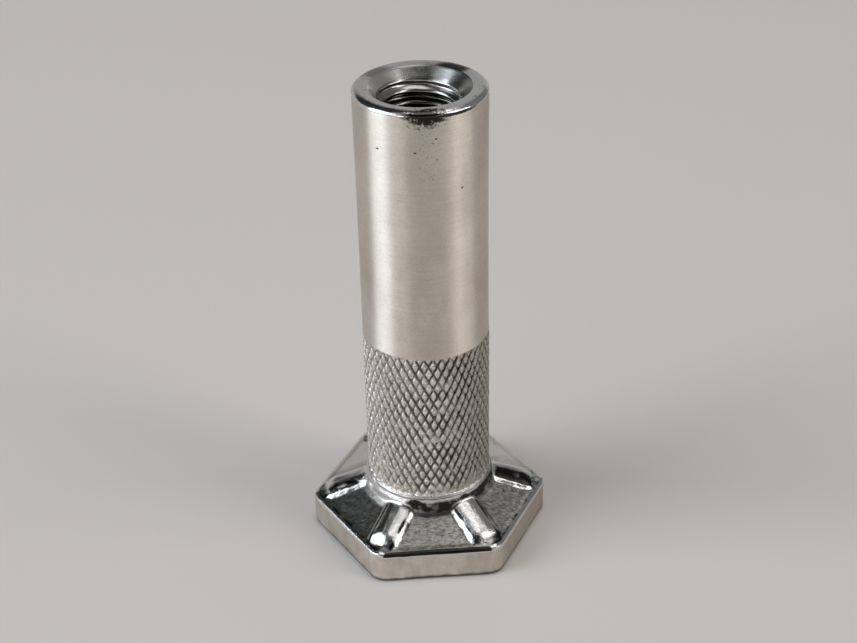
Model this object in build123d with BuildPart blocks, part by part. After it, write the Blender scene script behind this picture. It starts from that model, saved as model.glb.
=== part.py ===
"""Threaded insert with a ribbed hexagonal flange, a knurled shank and a blind threaded bore.

The piece is one solid. Its axis is Z, and it stands on the flat underside of the flange,
with a flat of the hexagon facing -Y. All sizes are in millimetres and degrees.
"""

from build123d import *
from math import cos, radians, sin, tan
import os

# Shank
shank_diameter = 12.7
total_height = 50.0

# Rounded rim at the top of the shank
rim_round = 0.65

# Blind threaded bore, with its wall at the thread's minor diameter
thread_diameter = 8.0
thread_pitch = 1.25
bore_depth = 22.0
drill_point_angle = 118
countersink_diameter = 9.7
countersink_angle = 90

# Diamond knurl: its points stand proud of the shank, and its grooves are cut below it
knurl_bottom = 7.15
knurl_top = 23.9
knurl_teeth = 45
knurl_helix_angle = 27
knurl_stand_out = 0.07
knurl_depth = 0.32

# Hub below the knurl, flaring a little to its foot
hub_foot_diameter = 13.4

# Hexagonal flange, with pocket floors that slope down from the hub to its flats
flange_sides = 6
across_flats = 22.0
flange_edge_height = 3.35
pocket_slope = 25
corner_radius = 2.0
top_edge_round = 0.4
bottom_edge_round = 0.4

# Ribs from the hub to the corners of the flange, turned a little out of line with them
rib_width = 3.3
rib_crown_round = 1.0
rib_root_height = 6.05
rib_slope = 19.5
rib_reach = 11.3
rib_end_round = 2.0
rib_turn = -1.6

shank_radius = shank_diameter / 2
hub_foot_radius = hub_foot_diameter / 2
flange_apothem = across_flats / 2

# The thread is five eighths as deep as its sharp triangle, which is cos 30 as high as the pitch
minor_radius = thread_diameter / 2 - 5 / 8 * thread_pitch * cos(radians(30))

# Height of the hub's foot, where the pocket floors meet it
hub_foot_height = flange_edge_height + (flange_apothem - hub_foot_radius) * tan(radians(pocket_slope))

# The knurl's grid: half a tooth is one step round the shank, and half a diamond is one row up
knurl_crest_radius = shank_radius + knurl_stand_out
knurl_groove_radius = knurl_crest_radius - knurl_depth
knurl_step = 180 / knurl_teeth
half_tooth = radians(knurl_step) * shank_radius
knurl_rows = round((knurl_top - knurl_bottom) * tan(radians(knurl_helix_angle)) / half_tooth)
knurl_row_height = (knurl_top - knurl_bottom) / knurl_rows


def grid_point(radius, step, row):
    """A point of the knurl's grid at the given radius."""
    angle = radians(step * knurl_step)
    return Vector(radius * cos(angle), radius * sin(angle), knurl_bottom + row * knurl_row_height)


def diamond_faces(step, row):
    """The flanks of the diamond centred on a grid point, as flat triangles up to its point.

    The end of the knurl cuts the diamonds of the first and last rows in half.
    """
    if row == 0:
        around = [(-1, 0), (0, 1), (1, 0)]
    elif row == knurl_rows:
        around = [(-1, 0), (0, -1), (1, 0)]
    else:
        around = [(-1, 0), (0, -1), (1, 0), (0, 1), (-1, 0)]
    point = grid_point(knurl_crest_radius, step, row)
    corners = [grid_point(knurl_groove_radius, step + side, row + rise) for side, rise in around]
    return [Face(Wire.make_polygon([start, end, point])) for start, end in zip(corners, corners[1:])]


def end_face(row):
    """The flat end of the knurl, which follows the cut diamonds of its end row."""
    outline = []
    for tooth in range(knurl_teeth):
        step = 2 * tooth + row % 2
        outline += [grid_point(knurl_groove_radius, step - 1, row), grid_point(knurl_crest_radius, step, row)]
    return Face(Wire.make_polygon(outline))


def knurl_solid():
    """The knurled band as a solid, closed by its flat ends."""
    faces = [end_face(0), end_face(knurl_rows)]
    for row in range(knurl_rows + 1):
        for tooth in range(knurl_teeth):
            faces += diamond_faces(2 * tooth + row % 2, row)
    return Solid(Shell(faces))


knurl_band = knurl_solid()

# One rib over the +X corner, from inside the hub to a rounded end short of the corner
slope = radians(rib_slope)
rib_start = shank_radius - rib_crown_round
rib_end_centre_x = rib_reach - rib_end_round
crest_end_x = rib_end_centre_x + rib_end_round * sin(slope)
crest_end_z = rib_root_height - (crest_end_x - shank_radius) * tan(slope)
rib_end_centre_z = crest_end_z - rib_end_round * cos(slope)

with BuildPart() as rib:
    with BuildSketch(Plane.XZ):
        with BuildLine():
            crest = Line(
                (rib_start, rib_root_height + (shank_radius - rib_start) * tan(slope)),
                (crest_end_x, crest_end_z),
            )
            roll_centre = (rib_end_centre_x, rib_end_centre_z)
            roll = CenterArc(roll_centre, rib_end_round, 90 - rib_slope, rib_slope - 90)
            Polyline(roll @ 1, (rib_reach, bottom_edge_round), (rib_start, bottom_edge_round), crest @ 0)
        make_face()
    extrude(amount=rib_width / 2, both=True)
    crest_and_roll_edges = faces().sort_by(Axis.Z)[-2:].edges().group_by(Axis.Y)
    fillet(crest_and_roll_edges[0] + crest_and_roll_edges[-1], radius=rib_crown_round)

with BuildPart() as threaded_insert:
    # Hexagonal flange, a prism below and a truncated pyramid above
    with BuildSketch() as flange_outline:
        RegularPolygon(flange_apothem, side_count=flange_sides, major_radius=False)
    extrude(amount=flange_edge_height)
    with BuildSketch(Plane.XY.offset(flange_edge_height)):
        add(flange_outline.sketch)
    extrude(amount=hub_foot_height - flange_edge_height, taper=90 - pocket_slope)
    fillet(edges().filter_by(Axis.Z), radius=corner_radius)
    fillet(edges().group_by(Axis.Z)[0], radius=bottom_edge_round)
    rim_edges = edges().filter_by_position(
        Axis.Z, flange_edge_height - top_edge_round, flange_edge_height + top_edge_round
    )
    fillet(rim_edges, radius=top_edge_round)

    # Hub, from the underside up to the knurl
    with BuildSketch(Plane.XZ):
        Polygon(
            (0, 0),
            (hub_foot_radius, 0),
            (hub_foot_radius, hub_foot_height),
            (shank_radius, knurl_bottom),
            (0, knurl_bottom),
            align=None,
        )
    revolve(axis=Axis.Z)

    # Ribs
    with PolarLocations(0, flange_sides, start_angle=rib_turn):
        add(rib.part)

    # Knurl
    add(knurl_band)

    # Smooth shank with its rounded rim
    with BuildSketch(Plane.XY.offset(knurl_top)):
        Circle(shank_radius)
    extrude(amount=total_height - knurl_top)
    fillet(edges().sort_by(Axis.Z)[-1], radius=rim_round)

    # Bore, from the countersink down to the drill point
    bore_bottom = total_height - bore_depth
    countersink_radius = countersink_diameter / 2
    countersink_depth = (countersink_radius - minor_radius) / tan(radians(countersink_angle / 2))
    drill_point_depth = minor_radius / tan(radians(drill_point_angle / 2))
    with BuildSketch(Plane.XZ):
        Polygon(
            (0, total_height),
            (countersink_radius, total_height),
            (minor_radius, total_height - countersink_depth),
            (minor_radius, bore_bottom),
            (0, bore_bottom - drill_point_depth),
            align=None,
        )
    revolve(axis=Axis.Z, mode=Mode.SUBTRACT)

threaded_insert.part.label = "threaded_insert"
os.makedirs("parts", exist_ok=True)
export_step(threaded_insert.part, "parts/threaded_insert.step")
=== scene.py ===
from math import atan2, ceil, cos, pi, radians, sin, tan

import bmesh
import bpy
import numpy as np
from mathutils import Matrix, Vector, noise


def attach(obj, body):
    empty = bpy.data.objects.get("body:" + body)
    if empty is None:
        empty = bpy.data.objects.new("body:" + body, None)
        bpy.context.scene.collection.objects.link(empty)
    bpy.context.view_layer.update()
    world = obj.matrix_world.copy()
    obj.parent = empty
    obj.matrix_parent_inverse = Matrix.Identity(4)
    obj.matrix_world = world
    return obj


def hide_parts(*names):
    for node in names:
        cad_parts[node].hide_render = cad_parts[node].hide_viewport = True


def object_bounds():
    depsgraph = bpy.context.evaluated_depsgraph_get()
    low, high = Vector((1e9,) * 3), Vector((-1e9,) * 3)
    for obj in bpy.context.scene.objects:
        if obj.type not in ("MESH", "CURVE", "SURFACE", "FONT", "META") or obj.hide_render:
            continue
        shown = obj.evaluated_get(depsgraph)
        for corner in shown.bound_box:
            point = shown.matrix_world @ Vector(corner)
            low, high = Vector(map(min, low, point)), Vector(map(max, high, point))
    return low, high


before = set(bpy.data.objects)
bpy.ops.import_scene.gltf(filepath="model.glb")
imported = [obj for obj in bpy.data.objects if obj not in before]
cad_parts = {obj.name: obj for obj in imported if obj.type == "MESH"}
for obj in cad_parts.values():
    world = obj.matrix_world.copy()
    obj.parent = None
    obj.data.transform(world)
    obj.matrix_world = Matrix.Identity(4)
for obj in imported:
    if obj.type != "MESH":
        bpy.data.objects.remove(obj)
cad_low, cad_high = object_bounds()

mm = 0.001

# Blank
# The insert is one piece of plated steel. It starts as a round blank, turned along the outline
# of a section through a flat of the flange. The flange, ribs, knurl and thread are then shaped
# from it.
total_height = cad_high.z - cad_low.z
across_flats = cad_high.y - cad_low.y
flange_radius = across_flats / 2
flange_edge_height = 3.35 * mm
flange_edge_round = 0.4 * mm
slope_degrees = 25
pocket_slope = radians(slope_degrees)
underside_disc_radius = 2 * mm
hub_foot_radius = 6.7 * mm
hub_foot_round = 1.2 * mm
hub_neck_radius = 6.42 * mm
bead_radius = 6.48 * mm
bead_bottom = 6.75 * mm
knurl_bottom = 7.15 * mm
knurl_top = 23.9 * mm
knurl_crest_radius = 6.42 * mm
shank_radius = 6.35 * mm
burr_bottom = 48.3 * mm
rim_width = 0.85 * mm
rim_drop = 0.5 * mm
crown_dip = 0.1 * mm
countersink_radius = 4.85 * mm
countersink_mouth_round = 0.12 * mm
thread_mouth_radius = 4.1 * mm

knurl_teeth = 45
columns_per_tooth = 10
columns = knurl_teeth * columns_per_tooth


def arc(centre, width, height, start, end, steps):
    """Points of an elliptical arc from just after its start to its end, angles in degrees."""
    angles = [radians(start + (end - start) * step / steps) for step in range(1, steps + 1)]
    return [(centre[0] + width * cos(angle), centre[1] + height * sin(angle)) for angle in angles]


def mix(first, second, share):
    """Goes from the first value to the second by a share."""
    return first + (second - first) * share


def run(start, end, steps):
    """Evenly spaced points of a straight run, without its start."""
    shares = [step / steps for step in range(1, steps + 1)]
    return [(mix(start[0], end[0], share), mix(start[1], end[1], share)) for share in shares]


def turn(outline):
    """Extrudes the selected ring along an outline of radii and heights, as a lathe would turn it."""
    for (radius, height), (next_radius, next_height) in zip(outline, outline[1:]):
        bpy.ops.mesh.extrude_region_move(TRANSFORM_OT_translate={"value": (0, 0, next_height - height)})
        scale = next_radius / radius
        bpy.ops.transform.resize(value=(scale, scale, 1), center_override=(0, 0, 0))


# The underside, its rounded edge, the side and the top edge
edge_centre_radius = flange_radius - flange_edge_round
edge_centre_height = flange_edge_height - flange_edge_round * tan((pi / 2 - pocket_slope) / 2)
lower_centre = (edge_centre_radius, flange_edge_round)
upper_centre = (edge_centre_radius, edge_centre_height)
outline = [(underside_disc_radius, 0)]
outline += run(outline[-1], (edge_centre_radius, 0), 2)
outline += arc(lower_centre, flange_edge_round, flange_edge_round, -90, 0, 4)
outline += run(outline[-1], (flange_radius, edge_centre_height), 6)
outline += arc(upper_centre, flange_edge_round, flange_edge_round, 0, 90 - slope_degrees, 5)
# The pocket floor, its fillet at the hub's foot, and the hub
foot_centre_radius = hub_foot_radius + hub_foot_round
floor_below_centre = flange_edge_height + (flange_radius - foot_centre_radius) * tan(pocket_slope)
foot_centre = (foot_centre_radius, floor_below_centre + hub_foot_round / cos(pocket_slope))
floor_end = (
    foot_centre[0] - hub_foot_round * sin(pocket_slope),
    foot_centre[1] - hub_foot_round * cos(pocket_slope),
)
outline += run(outline[-1], floor_end, 22)
outline += arc(foot_centre, hub_foot_round, hub_foot_round, -90 - slope_degrees, -180, 8)
outline += run(outline[-1], (hub_neck_radius, bead_bottom), 3)
# The double bead below the knurl
bead_height = (knurl_bottom - bead_bottom) / 2
for bead in range(2):
    bead_centre = (hub_neck_radius, bead_bottom + (bead + 0.5) * bead_height)
    outline += arc(bead_centre, bead_radius - hub_neck_radius, bead_height / 2, -60, 90, 4)
# The band that gets the knurl, which ends in two rings close together, and the smooth shank
outline += [(knurl_crest_radius, knurl_bottom), (knurl_crest_radius, knurl_top)]
outline += [(shank_radius, knurl_top + rise) for rise in (0.05 * mm, 0.2 * mm)]
outline += run(outline[-1], (shank_radius, burr_bottom), 5)
outline += run(outline[-1], (shank_radius, total_height - rim_drop), 5)
# The rounded rim and the crown, which dips a little inwards
outline += arc((shank_radius - rim_width, total_height - rim_drop), rim_width, rim_drop, 0, 90, 8)
mouth_centre = (
    countersink_radius + countersink_mouth_round / 2,
    total_height - crown_dip - countersink_mouth_round,
)
outline += run(outline[-1], (mouth_centre[0], total_height - crown_dip), 3)
# The countersink, at 45 degrees down to the mouth of the thread
outline += arc(mouth_centre, countersink_mouth_round, countersink_mouth_round, 90, 135, 2)
cone_radius, cone_height = outline[-1]
outline += run(outline[-1], (thread_mouth_radius, cone_height - (cone_radius - thread_mouth_radius)), 5)

bpy.ops.object.select_all(action="DESELECT")
bpy.ops.mesh.primitive_circle_add(vertices=columns, radius=underside_disc_radius, fill_type="TRIFAN")
insert = bpy.context.active_object
insert.name = insert.data.name = "insert"
bpy.ops.object.mode_set(mode="EDIT")
bpy.ops.mesh.select_mode(type="EDGE")
bpy.ops.mesh.select_all(action="SELECT")
bpy.ops.mesh.region_to_loop()
turn(outline)

# Bore
# A blind hole with a tapped thread below the countersink, and the cone of a drill at its end.
# Its rings have fewer columns, and are bridged to the countersink's.
bore_columns = 90
thread_pitch = 1.25 * mm
thread_diameter = 8 * mm
bore_depth = 22 * mm
drill_point_angle = radians(118)
drill_tip_radius = 0.2 * mm
bridge_drop = 0.04 * mm
drill_start_drop = 0.02 * mm
rows_per_pitch = 8
bore_bottom = total_height - bore_depth
# The thread is five eighths as deep as its sharp triangle, which is cos 30 as high as the pitch
minor_radius = thread_diameter / 2 - 5 / 8 * thread_pitch * cos(radians(30))
bore_start = (thread_mouth_radius - bridge_drop, outline[-1][1] - bridge_drop)
drill_start = (minor_radius, bore_bottom - drill_start_drop)
drill_end = (drill_tip_radius, bore_bottom - minor_radius / tan(drill_point_angle / 2))

bpy.ops.mesh.select_all(action="DESELECT")
bpy.ops.mesh.primitive_circle_add(
    vertices=bore_columns, radius=bore_start[0], location=(0, 0, bore_start[1])
)
turn([bore_start, (bore_start[0], bore_bottom), drill_start] + run(drill_start, drill_end, 3))
bpy.ops.mesh.edge_face_add()

# A distance that counts as none
hair = 0.001 * mm


def cut_rows(low, high, rows):
    """Cuts the tall faces between two heights into even rows."""
    bpy.ops.mesh.select_all(action="DESELECT")
    bpy.ops.object.mode_set(mode="OBJECT")
    points = insert.data.vertices
    for edge in insert.data.edges:
        ends = sorted(points[index].co.z for index in edge.vertices)
        edge.select = abs(ends[0] - low) < hair and abs(ends[1] - high) < hair
    bpy.ops.object.mode_set(mode="EDIT")
    bpy.ops.mesh.subdivide_edgering(number_cuts=rows - 1, interpolation="LINEAR")


# The rows are fine enough for the knurl's diamonds and for the thread
knurl_half_rows = 19
rows_per_half_row = 5
cut_rows(knurl_bottom, knurl_top, knurl_half_rows * rows_per_half_row)
cut_rows(bore_bottom, bore_start[1], ceil((bore_start[1] - bore_bottom) / thread_pitch * rows_per_pitch))
bpy.ops.object.mode_set(mode="OBJECT")


def ring_at(mesh, radius, height):
    """The points of one ring, in order round the axis."""
    ring = [point for point in mesh.verts if abs(point.co.z - height) < hair]
    ring = [point for point in ring if abs(point.co.xy.length - radius) < hair]
    return sorted(ring, key=lambda point: (atan2(point.co.y, point.co.x) + 0.001) % (2 * pi))


mesh = bmesh.new()
mesh.from_mesh(insert.data)
wide_ring = ring_at(mesh, *outline[-1])
bore_ring = ring_at(mesh, *bore_start)
per_column = columns // bore_columns
for column in range(bore_columns):
    span = [wide_ring[(column * per_column + step) % columns] for step in range(per_column + 1)]
    mesh.faces.new(span + [bore_ring[(column + 1) % bore_columns], bore_ring[column]])
bmesh.ops.recalc_face_normals(mesh, faces=mesh.faces)
mesh.to_mesh(insert.data)
mesh.free()

# Flange
# The foot is a hexagon with six low ribs that run from the hub to its corners and roll over at
# their ends, over pocket floors that slope down to the flats. It is forged, so its forms are soft.
corner_radius = 2 * mm
rib_width = 3.5 * mm
rib_shoulder_width = 1.5 * mm
rib_shoulder_drop = 1.2 * mm
rib_root_height = 6.05 * mm
rib_slope = radians(19.5)
rib_reach = 11.3 * mm
rib_end_round = 2.0 * mm
rib_turn = radians(-1.6)
rib_foot_blend = 0.45 * mm
rib_unevenness = 0.06 * mm
pocket_dish = 0.12 * mm
pocket_unevenness = 0.025 * mm
side_unevenness = 0.03 * mm
bead_unevenness = 0.09 * mm
sixth = pi / 3
half_sixth = sixth / 2
steep = 4


def from_corner(angle):
    """Angle from the nearest corner of the hexagon, between minus and plus a twelfth of a turn."""
    return (angle + half_sixth) % sixth - half_sixth


def hexagon_radius(angle):
    """Distance from the axis to the hexagon's outline, with its rounded corners."""
    off = np.abs(from_corner(angle))
    corner_centre = (flange_radius - corner_radius) / cos(half_sixth)
    on_arc = corner_centre * np.cos(off)
    on_arc += np.sqrt(np.maximum(corner_radius**2 - (corner_centre * np.sin(off)) ** 2, 0))
    arc_end = atan2(corner_radius * sin(half_sixth), corner_centre + corner_radius * cos(half_sixth))
    return np.where(off < arc_end, on_arc, flange_radius / np.cos(half_sixth - off))


def rib_surface(radius, angle):
    """Height of the nearest rib's surface, which drops away steeply past its sides and its end."""
    off = from_corner(angle - rib_turn)
    along = radius * np.cos(off)
    aside = np.abs(radius * np.sin(off))
    end_centre = rib_reach - rib_end_round
    crest_end = end_centre + rib_end_round * sin(rib_slope)
    crest = rib_root_height - (along - shank_radius) * tan(rib_slope)
    crest_end_height = rib_root_height - (crest_end - shank_radius) * tan(rib_slope)
    past = np.clip(along - end_centre, 0, rib_end_round)
    rolled = crest_end_height - rib_end_round * cos(rib_slope) + np.sqrt(rib_end_round**2 - past**2)
    rolled -= steep * np.maximum(along - rib_reach, 0)
    top = np.where(along < crest_end, crest, rolled)
    shoulder = np.clip((aside - rib_width / 2) / rib_shoulder_width + 1, 0, 1)
    drop = rib_shoulder_drop * (1 - np.sqrt(1 - shoulder**2))
    drop += steep * np.maximum(aside - rib_width / 2, 0)
    return top - drop


def blend_up(low, high, reach):
    """The higher of two surfaces, with a fillet where they cross."""
    overlap = np.maximum(reach - np.abs(high - low), 0) / reach
    return np.maximum(low, high) + overlap**2 * reach / 4


def smooth(start, end, value):
    """Eases from 0 at the start to 1 at the end."""
    share = np.clip((value - start) / (end - start), 0, 1)
    return share * share * (3 - 2 * share)


def band(start, full, fading, end, value):
    """Eases from 0 at the start to 1, and from where it is fading back to 0 at the end."""
    return smooth(start, full, value) * (1 - smooth(fading, end, value))


def rough(points, chosen, size, seed):
    """Noise of about -1 to 1 at the chosen points and 0 elsewhere, with lumps of the given size."""
    values = np.zeros(len(points))
    shift = Vector((seed, seed, seed))
    values[chosen] = [noise.noise(Vector(point) / size + shift) for point in points[chosen]]
    return values


co = np.empty(len(insert.data.vertices) * 3)
insert.data.vertices.foreach_get("co", co)
co = co.reshape(-1, 3)
angle = np.arctan2(co[:, 1], co[:, 0])
radius = np.hypot(co[:, 0], co[:, 1])
height = co[:, 2].copy()

# The round foot is pushed out to the hexagon, and its pocket floors are lifted to stay flat
foot = (height < bead_bottom + hair) & (radius > 0)
top = foot & (height > edge_centre_height)
stretch = np.clip((radius - hub_foot_radius) / (edge_centre_radius - hub_foot_radius), 0, 1)
foot_radius = radius + (hexagon_radius(angle) - flange_radius) * stretch
to_flat = foot_radius * np.cos(half_sixth - np.abs(from_corner(angle)))
lift = (radius - to_flat) * tan(pocket_slope)
lift *= smooth(1 * mm, edge_centre_height, height) * (1 - smooth(floor_end[1], bead_bottom, height))
pocket_floor = height + lift

# The ribs rise from the floors, which are dished between them, and both are a little uneven
lumps = rough(co, top, 1.4 * mm, 11.0) + 0.5 * rough(co, top, 0.6 * mm, 17.0)
ribs = rib_surface(foot_radius, angle) + rib_unevenness * lumps
dish = pocket_dish * smooth(0, 0.7 * mm, pocket_floor - ribs)
pocket_floor = pocket_floor + (pocket_unevenness * lumps - dish) * band(0, 0.12, 0.84, 0.98, stretch)
ribbed = np.where(top, blend_up(pocket_floor, ribs, rib_foot_blend), pocket_floor)
radius = np.where(foot, foot_radius, radius)
height = np.where(foot, ribbed, height)

# The pockets are dark and rough
below_rib = pocket_floor - ribs
in_pocket = smooth(0.2 * mm, 0.7 * mm, below_rib) * band(0.0, 0.1, 0.97, 1.0, stretch)
in_pocket = np.where(top, in_pocket, 0)

# Painted shade sits in the creases at the feet of the ribs, and painted dark reflections lie on
# their flanks and higher up on the near flank of the ribs at each side
from_front = (angle + pi / 2 + pi) % (2 * pi) - pi
to_side = np.abs(from_front)
beside = np.abs(foot_radius * np.sin(from_corner(angle - rib_turn)))
rib_shade_and_reflection = 0.6 * band(-0.2 * mm, 0.2 * mm, 0.5 * mm, 1.8 * mm, below_rib)
rib_shade_and_reflection += band(1.1 * mm, 1.25 * mm, 1.35 * mm, 1.5 * mm, beside)
rib_shade_and_reflection += band(1.1, 1.25, 1.5, 1.58, to_side) * band(-0.7 * mm, -0.55 * mm, -0.2 * mm, -0.05 * mm, below_rib)
rib_shade_and_reflection *= np.clip(0.6 + 0.9 * lumps, 0, 1) * band(0.04, 0.12, 0.9, 0.98, stretch)
# Painted shade also lies round the hub, except at the left where the light falls, fading outwards
hub_shade = smooth(0.05 * mm, 0.35 * mm, bead_bottom - height + 0.1 * mm * lumps)
hub_shade *= smooth(-4 * mm, -2 * mm, co[:, 0]) * smooth(-0.1 * mm, 0.4 * mm, below_rib)
hub_shade *= mix(0.64, 0.18, smooth(0.0, 0.14, stretch)) * (1 + 0.5 * lumps)
# And painted dark reflections along the pockets' outer edges at both sides, and on the front edge itself
edge_dark_reflection = band(0.9, 0.95, 0.97, 1.0, stretch) * band(0.44, 0.5, 1.5, 1.8, to_side)
edge_dark_reflection *= np.clip(0.4 + 0.9 * lumps, 0, 1)
front_edge_dark_reflection = smooth(0.98, 1.0, stretch) * (1 - smooth(0.44, 0.5, to_side))
front_edge_dark_reflection *= smooth(0.08 * mm, 0.16 * mm, height - edge_centre_height + 0.05 * mm * lumps)
# The flange top's painted shade and painted dark reflections are gathered here
shade_and_reflection = np.where(top, np.maximum.reduce([rib_shade_and_reflection, hub_shade, edge_dark_reflection, front_edge_dark_reflection]), 0)

# The sides are a little wavy, and so is the bead at the hub's neck
on_side = foot & (height > 0.01 * mm) & (height < edge_centre_height + 0.3 * mm) & (radius > 10 * mm)
waves = rough(co, on_side, 3.0 * mm, 23.0) + 0.4 * rough(co, on_side, 0.9 * mm, 29.0)
radius = radius - np.where(on_side, side_unevenness * (1.4 + waves), 0)
on_bead = (height > bead_bottom - 0.3 * mm) & (height < knurl_bottom)
on_bead &= (radius > 6 * mm) & (radius < 6.6 * mm)
height = height + bead_unevenness * rough(co * (1, 1, 0), on_bead, 0.9 * mm, 31.0)

# Knurl
# Two crossing sets of helical grooves leave 45 rows of blunt diamonds round the shank. They are
# rolled into it unevenly, fade at both ends of the band and are rubbed flat in places.
knurl_depth = 0.34 * mm
groove_share = 0.42
wide_groove_share = 0.54
even_groove = 0.85
deep_groove = 1.0
shallow_groove = 0.5
foot_groove = 0.25
land_dome = 0.03 * mm
land_unevenness = 0.02 * mm
knurl_top_fade = 0.3 * mm
knurl_foot_fade = 1.6 * mm
in_knurl = (height > knurl_bottom - hair) & (height < knurl_top + hair) & (radius > 5 * mm)
step = angle / (pi / knurl_teeth)
row = (height - knurl_bottom) / (knurl_top - knurl_bottom) * knurl_half_rows
rising = (step + row) / 2
falling = (step - row) / 2
off_rising = np.abs(rising - np.round(rising))
off_falling = np.abs(falling - np.round(falling))
wear = rough(co, in_knurl, 2.2 * mm, 3.0)
dents = rough(co, in_knurl, 0.45 * mm, 7.0)
# On the front, the grooves that lean left are deep at the left, and the others at the right
front = 1 - smooth(1.05, 1.6, to_side)
to_right = smooth(-0.35, 0.45, from_front + 0.25 * wear)
lean_left = mix(even_groove, mix(deep_groove, shallow_groove, to_right), front)
lean_right = mix(even_groove, mix(shallow_groove, deep_groove, to_right), front)
right_share = mix(groove_share, wide_groove_share, front * to_right)
groove_left = np.clip(1 - (1 - 2 * off_rising) / groove_share, 0, 1) * lean_left
groove_right = np.clip(1 - (1 - 2 * off_falling) / right_share, 0, 1) * lean_right
top_fade = smooth(0, knurl_top_fade, knurl_top - height)
foot_fade = smooth(0.1 * mm, knurl_foot_fade, height - knurl_bottom + 0.7 * mm * wear)
foot_fade = mix(foot_groove, 1, foot_fade)
groove = np.maximum(groove_left, groove_right) * top_fade * foot_fade
groove = np.where(in_knurl, groove * np.clip(0.95 + 0.5 * wear + 0.6 * dents, 0.3, 1.1), 0)
radius = radius - groove * knurl_depth * (1 + 0.5 * wear)
# The lands between the grooves are domed, and meet the shank at the top edge
from_groove = 1 - 2 * np.maximum(off_rising, off_falling)
lowered = land_dome * (1 - from_groove) ** 2 * top_fade + land_unevenness * (1 + dents)
lowered += (knurl_crest_radius - shank_radius) * (1 - top_fade)
radius = radius - np.where(in_knurl, lowered, 0)

# Thread
# A right-hand metric thread of 8 mm and a pitch of 1.25 mm, tapped into the bore. It runs out
# at its lower end, and its first turn is cut short by the countersink.
root_flat = 1 / 8
crest_flat = 1 / 4
run_out_turns = 2
bore_limit = thread_mouth_radius - 0.02 * mm
in_thread = (height > bore_bottom - hair) & (height < bore_start[1] + hair) & (radius < bore_limit)
phase = (height / thread_pitch - angle / (2 * pi)) % 1
from_root = np.abs(phase - 0.5) * 2
rise = np.clip((from_root - root_flat) / (1 - crest_flat - root_flat), 0, 1)
run_out = smooth(0, run_out_turns * thread_pitch, height - bore_bottom)
thread_radius = minor_radius + (thread_diameter / 2 - minor_radius) * (1 - rise) * run_out
countersink = bore_start[0] - (bore_start[1] - height)
radius = np.where(in_thread, np.maximum(thread_radius, countersink), radius)

# Shank
# The smooth part above the knurl, left as the blank was turned. It has a slight waist, which
# bends its reflections a little.
shank_waist = 0.05 * mm
on_shank = (height > knurl_top) & (radius > 6 * mm)
waist = shank_waist * np.sin(pi * (height - knurl_top) / (total_height - knurl_top))
radius = radius - np.where(on_shank, waist, 0)

co = np.stack([radius * np.cos(angle), radius * np.sin(angle), height], axis=1)
insert.data.vertices.foreach_set("co", co.ravel())
insert.data.update()

# The knurl's faces are split along its grooves, so that these stay crisp
mesh = bmesh.new()
mesh.from_mesh(insert.data)
for face in list(mesh.faces):
    corners = [point.index for point in face.verts]
    if len(corners) != 4 or not in_knurl[corners].all():
        continue
    across_rising = off_rising[corners].mean() > off_falling[corners].mean()
    along = (rising if across_rising else falling)[corners]
    first = 0 if abs(along[0] - along[2]) < abs(along[1] - along[3]) else 1
    bmesh.utils.face_split(face, face.verts[first], face.verts[first + 2])
mesh.to_mesh(insert.data)
mesh.free()
# Stored on the mesh: the pockets, the flange top's painted shade and dark reflections, and the grooves
for name, values in {"pocket": in_pocket, "shade_and_reflection": shade_and_reflection, "groove": groove}.items():
    layer = insert.data.attributes.new(name, "FLOAT", "POINT")
    layer.data.foreach_set("value", values)
insert.data.shade_smooth()


# Finish
# Nickel-like plating over the whole piece: satin with fine turning lines on the shank, polished
# on the rim and the ribs, and left rough and dark in the pockets. Its stains are painted in,
# and so are painted shade and painted dark reflections.
def connect(owner, node, inputs):
    """Gives a node its inputs, which are values or the sockets that feed them."""
    for name, value in inputs.items():
        if isinstance(value, bpy.types.NodeSocket):
            owner.node_tree.links.new(value, node.inputs[name])
        else:
            node.inputs[name].default_value = value


def add_node(owner, kind, inputs, **settings):
    """Adds a shader node to a material or the world, with its settings and inputs."""
    made = owner.node_tree.nodes.new("ShaderNode" + kind)
    for name, value in settings.items():
        setattr(made, name, value)
    connect(owner, made, inputs)
    return made


def place(material, scale=(1, 1, 1)):
    """The point on the piece in millimetres, stretched by a scale."""
    where = add_node(material, "TexCoord", {}).outputs["Object"]
    size = [share / mm for share in scale]
    return add_node(material, "Mapping", {"Vector": where, "Scale": size}).outputs["Vector"]


def distance_along(material, axis):
    """How far the point is along one of the piece's axes, in millimetres."""
    return add_node(material, "SeparateXYZ", {0: place(material)}).outputs[axis]


def painted(material, name):
    """A value painted on the mesh."""
    return add_node(material, "Attribute", {}, attribute_name=name).outputs["Fac"]


def grain(material, scale, size, detail=4.0, roughness=0.6):
    """Noise whose lumps are about the given size in millimetres, stretched by a scale."""
    inputs = {"Vector": place(material, scale), "Scale": 1 / size, "Detail": detail, "Roughness": roughness}
    return add_node(material, "TexNoise", inputs).outputs["Fac"]


def between(owner, value, low, high, new_low, new_high, **settings):
    """Maps a range of a value to another, and keeps it within that."""
    inputs = {"Value": value, "From Min": low, "From Max": high, "To Min": new_low, "To Max": new_high}
    return add_node(owner, "MapRange", inputs, **settings).outputs["Result"]


def maths(owner, operation, first, second):
    """One sum of two values."""
    return add_node(owner, "Math", {0: first, 1: second}, operation=operation).outputs[0]


def total(material, *parts):
    """The values of all parts added up, each times its weight."""
    terms = [value if weight == 1 else maths(material, "MULTIPLY", value, weight) for value, weight in parts]
    added = terms[0]
    for term in terms[1:]:
        added = maths(material, "ADD", added, term)
    return added


def largest(material, *values):
    """The largest of several values."""
    found = values[0]
    for value in values[1:]:
        found = maths(material, "MAXIMUM", found, value)
    return found


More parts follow.
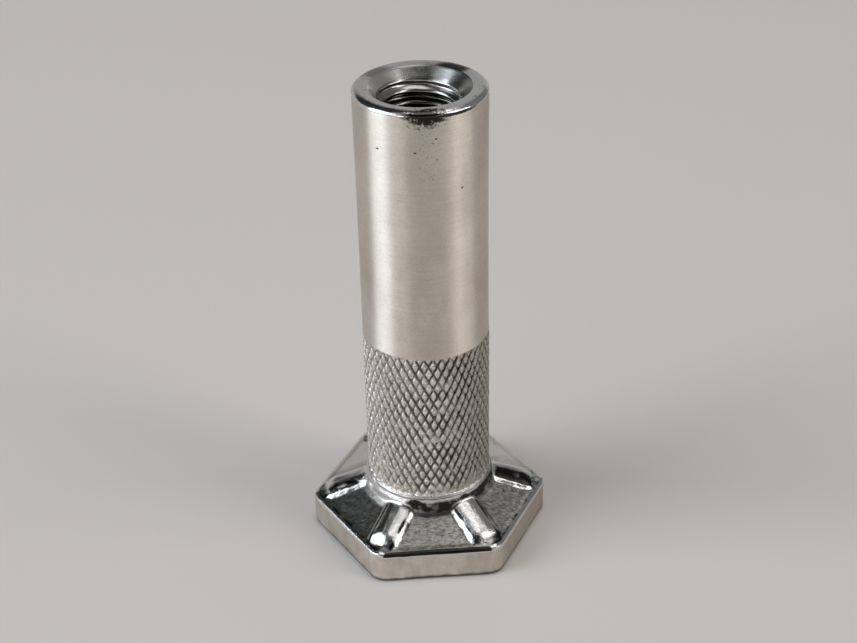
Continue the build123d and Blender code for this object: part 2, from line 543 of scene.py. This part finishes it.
def spot(material, centre, size, ragged, ragged_size):
    """1 in a ragged patch round a point of the piece, in millimetres, and 0 away from it."""
    off = add_node(material, "VectorMath", {0: place(material), 1: centre}, operation="SUBTRACT").outputs[0]
    off = add_node(material, "VectorMath", {0: off, 1: size}, operation="DIVIDE").outputs[0]
    length = add_node(material, "VectorMath", {0: off}, operation="LENGTH").outputs["Value"]
    edge = total(material, (length, 1), (grain(material, (1, 1, 1), ragged_size, 3.0), ragged))
    return between(material, edge, 1.05 + ragged / 2, 0.6 + ragged / 2, 0, 1)


def blend_colours(material, share, first, second):
    """Goes from the first colour to the second by a share. Either may come from another node."""
    first, second = [(*colour, 1) if isinstance(colour, tuple) else colour for colour in (first, second)]
    inputs = {"Factor": share, 6: first, 7: second}
    return add_node(material, "Mix", inputs, data_type="RGBA").outputs[2]


def metal(name):
    """A new metal, which a finish then dresses."""
    material = bpy.data.materials.new(name)
    material.use_nodes = True
    connect(material, material.node_tree.nodes["Principled BSDF"], {"Metallic": 1.0})
    return material


def dress(material, colour, roughness, relief=None, strength=0.5, depth=0.05 * mm):
    """Gives a metal its colour, its roughness and its fine relief."""
    inputs = {"Base Color": colour, "Roughness": roughness}
    if relief is not None:
        bump = {"Height": relief, "Strength": strength, "Distance": depth}
        inputs["Normal"] = add_node(material, "Bump", bump).outputs[0]
    connect(material, material.node_tree.nodes["Principled BSDF"], inputs)


def brush(material, anisotropy):
    """Draws reflections out into upright bands, as fine lines round the piece do."""
    upright = add_node(material, "CombineXYZ", {"Z": 1.0}).outputs[0]
    shader = material.node_tree.nodes["Principled BSDF"]
    connect(material, shader, {"Anisotropic": anisotropy, "Tangent": upright})


def burr_and_dark_line(material):
    """The dark torn plating under the rim at the front, and a painted dark reflection line beside it."""
    torn = spot(material, (0.1, -6.2, 49.5), (2.0, 1.2, 1.05), 2.2, 0.45)
    # A painted dark reflection line along the foot of the rim, to the right of the burr
    dark_reflection_line = spot(material, (2.6, -5.4, 49.52), (3.0, 2.4, 0.2), 0.8, 0.4)
    return largest(material, torn, dark_reflection_line)


# Shank: satin, with fine lines round it, a burr under the rim with a painted dark reflection line
# beside it, a trail of pits below that and four single marks
satin_dark = (0.68, 0.605, 0.53)
satin_light = (0.90, 0.825, 0.75)
burr_and_reflection_colour = (0.045, 0.036, 0.03)
satin = metal("satin_shank")
brush(satin, 0.95)
lines = grain(satin, (0.12, 0.12, 4), 0.6)
cloud = grain(satin, (1, 1, 0.6), 4.0, 6.0)
speckle = grain(satin, (1, 1, 1), 0.16, 2.0)
tone = total(satin, (lines, 0.2), (cloud, 0.5), (speckle, 0.3))
plating = blend_colours(satin, between(satin, tone, 0.38, 0.62, 0, 1), satin_dark, satin_light)
pits = between(satin, grain(satin, (1, 1, 1), 0.22, 2.0), 0.62, 0.70, 0, 0.7)
pits = maths(satin, "MULTIPLY", pits, spot(satin, (0.2, -6.3, 45.6), (1.3, 0.8, 4.0), 0.5, 1.0))
mark_centres = ((-4.3, -4.7, 46.0), (-1.0, -6.3, 46.1), (3.3, -5.4, 42.0), (0.9, -6.3, 47.4))
single_marks = [spot(satin, centre, (0.15, 0.4, 0.1), 0.8, 0.12) for centre in mark_centres]
marks = largest(satin, pits, burr_and_dark_line(satin), *single_marks)
# The burr, pits and marks, and the painted dark reflection line, darken the plating
plating = blend_colours(satin, marks, plating, burr_and_reflection_colour)
relief = total(satin, (lines, 0.05), (speckle, 0.05), (marks, -1.0))
dress(satin, plating, between(satin, lines, 0.3, 0.7, 0.38, 0.46), relief, 0.6)

# Flange sides and underside: satin and a little uneven, with painted shade towards the right,
# darker at the far left, and a painted shadow along the bottom that covers the whole underside
side_dark = (0.60, 0.54, 0.48)
side_light = (0.80, 0.73, 0.66)
side_shaded_right = (0.36, 0.32, 0.27)
side_darker_left = (0.40, 0.36, 0.32)
bottom_shadow_colour = (0.06, 0.05, 0.04)
side = metal("satin_flange")
brush(side, 0.7)
cloud = grain(side, (1, 1, 0.6), 1.2, 6.0)
across = distance_along(side, "X")
upwards = total(side, (distance_along(side, "Z"), 1), (cloud, 0.5))
plating = blend_colours(side, between(side, cloud, 0.35, 0.65, 0, 1), side_dark, side_light)
# Painted shade towards the right
plating = blend_colours(side, between(side, across, 1.0, 9.0, 0, 0.55), plating, side_shaded_right)
# Darker at the far left
plating = blend_colours(side, between(side, across, -6.0, -9.0, 0, 0.4), plating, side_darker_left)
# Painted shadow along the bottom and over the underside
plating = blend_colours(side, between(side, upwards, 0.85, 0.55, 0, 0.9), plating, bottom_shadow_colour)
dress(side, plating, between(side, cloud, 0.3, 0.7, 0.34, 0.44), cloud, 0.6)

# Rim and crown: polished, with small ripples, stained by the burr, with a painted dark reflection
# line beside it and painted dark reflections in two patches at the back
polished_colour = (0.72, 0.71, 0.70)
stain_and_reflection_colour = (0.06, 0.055, 0.05)
polished = metal("polished")
ripple = grain(polished, (1, 1, 1), 0.6)
specks = between(polished, ripple, 0.62, 0.70, 0, 0.6)
# Painted dark reflections in two patches on the crown at the back
back_right_reflection = spot(polished, (3.6, 3.9, 49.8), (2.4, 1.5, 0.9), 0.6, 0.8)
back_left_reflection = spot(polished, (-3.9, 3.4, 49.8), (2.2, 1.6, 0.9), 0.8, 0.8)
faint = maths(polished, "MULTIPLY", back_left_reflection, 0.6)
stain_and_reflection = largest(polished, burr_and_dark_line(polished), specks, back_right_reflection, faint)
tint = blend_colours(polished, stain_and_reflection, polished_colour, stain_and_reflection_colour)
dress(polished, tint, between(polished, ripple, 0.35, 0.65, 0.07, 0.2), ripple, 0.5, 0.04 * mm)

# Countersink: cut with a drill, so it is a little duller, with fine rings. It is painted light
# towards the front left and painted shade towards the back right
sunk_lit = (0.95, 0.94, 0.90)
sunk_shaded = (0.36, 0.35, 0.34)
sunk = metal("countersunk")
mist = grain(sunk, (1, 1, 1), 1.4, 5.0)
rings = grain(sunk, (0.3, 0.3, 5), 0.5)
across = total(sunk, (distance_along(sunk, "X"), 1), (distance_along(sunk, "Y"), 0.8), (mist, 4.0))
# Painted light towards the front left and painted shade towards the back right
tint = blend_colours(sunk, between(sunk, across, -1.5, 3.0, 0, 1), sunk_lit, sunk_shaded)
dress(sunk, tint, between(sunk, mist, 0.3, 0.7, 0.2, 0.36), rings, 0.4, 0.01 * mm)

# Thread: bright at its mouth, with painted shade deeper down the bore
tapped_bright = (0.46, 0.45, 0.43)
bore_shade_colour = (0.04, 0.035, 0.03)
tapped = metal("tapped")
depth = total(tapped, (distance_along(tapped, "Z"), 1), (grain(tapped, (1, 1, 1), 1.2), 1.5))
# Painted shade deeper down the bore
tint = blend_colours(tapped, between(tapped, depth, 49.4, 46.8, 0, 1), tapped_bright, bore_shade_colour)
dress(tapped, tint, 0.2)

# Top of the flange: the ribs and the hub are rubbed bright. The pockets between them are rough
# with fine marks of the die, dark at the front and the left, scored at the right, light at the back
rubbed_colour = (0.70, 0.69, 0.68)
floor_dark = (0.14, 0.135, 0.12)
floor_light = (0.40, 0.39, 0.365)
scored_dark = (0.22, 0.215, 0.19)
scored_light = (0.92, 0.90, 0.85)
back_floor_colour = (0.84, 0.79, 0.72)
shade_colour = (0.03, 0.027, 0.023)
forged = metal("forged")
ripple = grain(forged, (1, 1, 1), 0.4, 5.0, 0.65)
die = grain(forged, (1, 4, 1), 0.5, 3.0)
rubbed = between(forged, total(forged, (ripple, 1), (die, 1)), 0.8, 1.2, 0, 1)
floor_tint = blend_colours(forged, rubbed, floor_dark, floor_light)
scored = blend_colours(forged, rubbed, scored_dark, scored_light)
at_right = between(forged, distance_along(forged, "X"), 4.0, 6.0, 0, 1)
at_back = between(forged, distance_along(forged, "Y"), 1.0, 4.0, 0, 1)
floor_tint = blend_colours(forged, at_right, floor_tint, scored)
floor_tint = blend_colours(forged, at_back, floor_tint, back_floor_colour)
pocket = between(forged, total(forged, (painted(forged, "pocket"), 1), (ripple, 1)), 0.75, 1.15, 0, 1)
tint = blend_colours(forged, pocket, rubbed_colour, floor_tint)
# Painted shade and painted dark reflections darken the flange top here
shade_share = total(forged, (painted(forged, "shade_and_reflection"), 1), (ripple, 0.5))
tint = blend_colours(forged, between(forged, shade_share, 0.45, 0.85, 0, 1), tint, shade_colour)
bumps = total(forged, (ripple, 1), (die, 0.5))
dress(forged, tint, between(forged, pocket, 0, 1, 0.1, 0.3), bumps, 0.7, 0.06 * mm)

# Knurl: blunt satin lands with a rough grain and painted shade towards the right. Its grooves
# are painted dark as painted shade, lighter at the left where light falls into them
land_dark = (0.50, 0.45, 0.39)
land_light = (1.0, 0.95, 0.89)
land_shaded_right = (0.26, 0.23, 0.20)
groove_shade_left = (0.26, 0.24, 0.22)
groove_shade_right = (0.05, 0.042, 0.035)
knurled = metal("knurled")
mottle = grain(knurled, (1, 1, 1), 0.3, 5.0, 0.7)
across = distance_along(knurled, "X")
land = blend_colours(knurled, between(knurled, mottle, 0.38, 0.62, 0, 1), land_dark, land_light)
# Painted shade darkens the lands towards the right
land = blend_colours(knurled, between(knurled, across, 0.0, 6.0, 0, 0.7), land, land_shaded_right)
# Painted shade in the grooves, lighter at the left where light falls into them
groove_shade_to_right = between(knurled, across, -5.0, 3.0, 0, 1)
groove_shade = blend_colours(knurled, groove_shade_to_right, groove_shade_left, groove_shade_right)
deep = between(knurled, painted(knurled, "groove"), 0.12, 0.55, 0, 1)
knurl_tint_and_shade = blend_colours(knurled, deep, land, groove_shade)
dress(knurled, knurl_tint_and_shade, between(knurled, mottle, 0.3, 0.7, 0.2, 0.38), mottle, 0.9, 0.08 * mm)


def finish_at(radius, height):
    """The finish of a face, from its middle's distance from the axis and its height."""
    if radius < bore_limit and height > total_height / 2:
        return tapped
    if radius < countersink_radius and height > total_height / 2:
        return sunk
    if height > total_height - rim_drop:
        return polished
    if height > knurl_top:
        return satin
    if height > knurl_bottom:
        return knurled
    if height > edge_centre_height:
        return forged
    return side


finishes = [satin, polished, forged, knurled, side, tapped, sunk]
for material in finishes:
    insert.data.materials.append(material)
for face in insert.data.polygons:
    corners = list(face.vertices)
    face.material_index = finishes.index(finish_at(radius[corners].mean(), height[corners].mean()))
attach(insert, "root")
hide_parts("threaded_insert")

# Floor
# A plain, pale and matt ground for the insert to stand on, wide enough for every view. It is
# part of the studio and not of the piece.
floor_colour = (0.75, 0.70, 0.665)
bpy.ops.mesh.primitive_plane_add(size=6)
floor = bpy.context.active_object
floor.name = "floor"
paint = bpy.data.materials.new("pale_floor")
paint.use_nodes = True
floor_finish = {"Base Color": (*floor_colour, 1), "Roughness": 0.9, "Specular IOR Level": 0.1}
connect(paint, paint.node_tree.nodes["Principled BSDF"], floor_finish)
floor.data.materials.append(paint)

# Lamps
# Five softboxes round the insert: a large cool one at the left, a narrow one and a strip at the
# right, a weak one low at the front left and one overhead. The camera doesn't see them.
lamp_spread = radians(110)
lamp_output = pi / 2.6
cool_white = (0.80, 0.91, 1.0)
warm_white = (1.0, 0.98, 0.95)
white = (1.0, 1.0, 1.0)


def direction(azimuth, elevation):
    """Points away from the insert, in degrees. Azimuth 0 is in front, and it grows to the right."""
    across = cos(radians(elevation))
    return Vector((sin(radians(azimuth)) * across, -cos(radians(azimuth)) * across, sin(radians(elevation))))


def softbox(name, azimuth, elevation, distance, width, height, brightness, colour):
    """A rectangular lamp that faces the middle of the insert."""
    light = bpy.data.lights.new(name, "AREA")
    light.shape = "RECTANGLE"
    light.size = width
    light.size_y = height
    light.energy = brightness * width * height * lamp_output
    light.spread = lamp_spread
    light.color = colour
    lamp = bpy.data.objects.new(name, light)
    lamp.visible_camera = False
    bpy.context.collection.objects.link(lamp)
    away = direction(azimuth, elevation)
    lamp.location = away * distance + Vector((0, 0, total_height / 2))
    lamp.rotation_euler = away.to_track_quat("Z", "Y").to_euler()


softbox("left_softbox", -79, 27, 1.0, 0.62, 0.95, 3.8, cool_white)
softbox("right_softbox", 62, 38, 1.2, 0.34, 0.8, 2.8, warm_white)
softbox("side_strip", 82, 27, 1.2, 0.12, 0.42, 4.0, warm_white)
softbox("front_strip", -40, 13, 1.2, 0.45, 0.22, 1.8, white)
softbox("top_softbox", 90, 82, 1.0, 0.55, 0.55, 1.5, white)

# Room
# An even grey all round, with four darker zones that the metal reflects: above the camera,
# behind the left lamp, at the right, and a faint one straight behind.
room_grey = (0.52, 0.52, 0.52)
zone_fade = 0.12
camera_zone = (10, 58, 0.77, 0.06)
left_zone = (-135, 48, 0.80, 0.06)
right_zone = (118, 26, 0.78, 0.35)
back_zone = (180, 30, 0.80, 0.7)
room = bpy.data.worlds.new("studio")
room.use_nodes = True
bpy.context.scene.world = room


def darken(light, azimuth, elevation, edge, darkest):
    """Dims the room round one direction. The edge is the cosine of the angle at which it starts."""
    outwards = add_node(room, "TexCoord", {}).outputs["Generated"]
    inputs = {0: outwards, 1: direction(azimuth, elevation)}
    towards = add_node(room, "VectorMath", inputs, operation="DOT_PRODUCT").outputs["Value"]
    shade = between(room, towards, edge, edge + zone_fade, 1, darkest, interpolation_type="SMOOTHSTEP")
    return maths(room, "MULTIPLY", light, shade)


room_light = 1.0
for zone in (camera_zone, left_zone, right_zone, back_zone):
    room_light = darken(room_light, *zone)
connect(room, room.node_tree.nodes["Background"], {"Color": (*room_grey, 1), "Strength": room_light})

# Camera
# It stands in front and above, and looks down at the insert. Its place, lens and angles were
# fitted to the photo.
camera_place = (-0.00814852, -0.12756416, 0.10495413)
camera_turn = radians(-3.7868)
camera_tilt = radians(57.7761)
camera_roll = radians(-1.2819)
camera_data = bpy.data.cameras.new("camera")
camera_data.lens = 63.2357
camera_data.sensor_width = 36
camera_data.clip_start = 0.01
camera = bpy.data.objects.new("camera", camera_data)
bpy.context.collection.objects.link(camera)
camera.location = camera_place
camera.rotation_mode = "QUATERNION"
turned = Matrix.Rotation(camera_turn, 3, "Z") @ Matrix.Rotation(camera_tilt, 3, "X")
camera.rotation_quaternion = (turned @ Matrix.Rotation(camera_roll, 3, "Z")).to_quaternion()
bpy.context.scene.camera = camera
bpy.context.scene.view_settings.view_transform = "Standard"
